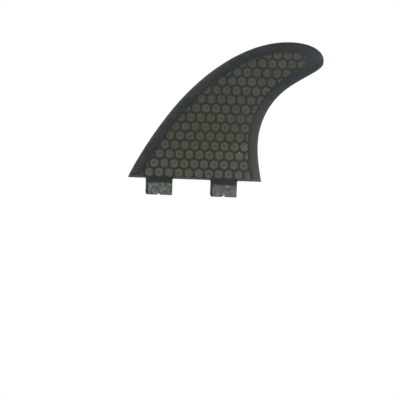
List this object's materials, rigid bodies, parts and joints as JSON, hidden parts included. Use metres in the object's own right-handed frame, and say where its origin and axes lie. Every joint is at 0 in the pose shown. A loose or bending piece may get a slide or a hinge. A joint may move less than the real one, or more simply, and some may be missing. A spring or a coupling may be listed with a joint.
{
  "type": "surfboard fin",
  "caption": "Swept surfboard fin with tabs under its flat base and a honeycomb core showing through its smooth moulded blade.",
  "frame": {"origin": "middle of the base, in the flat plane that seats on the board", "axes": "+Z from the base towards the tip, +X from the leading edge to the trailing edge, +Y across the blade's thickness"},
  "size_m": [0.158, 0.0086, 0.1297],
  "materials": {
    "laminate": "smooth, satin gloss, see-through over the core",
    "core": "matt foam cells under a fibre veil"
  },
  "bodies": {
    "root": {"moulded_laminate": "laminate", "honeycomb_core": "core"}
  },
  "joints": []
}
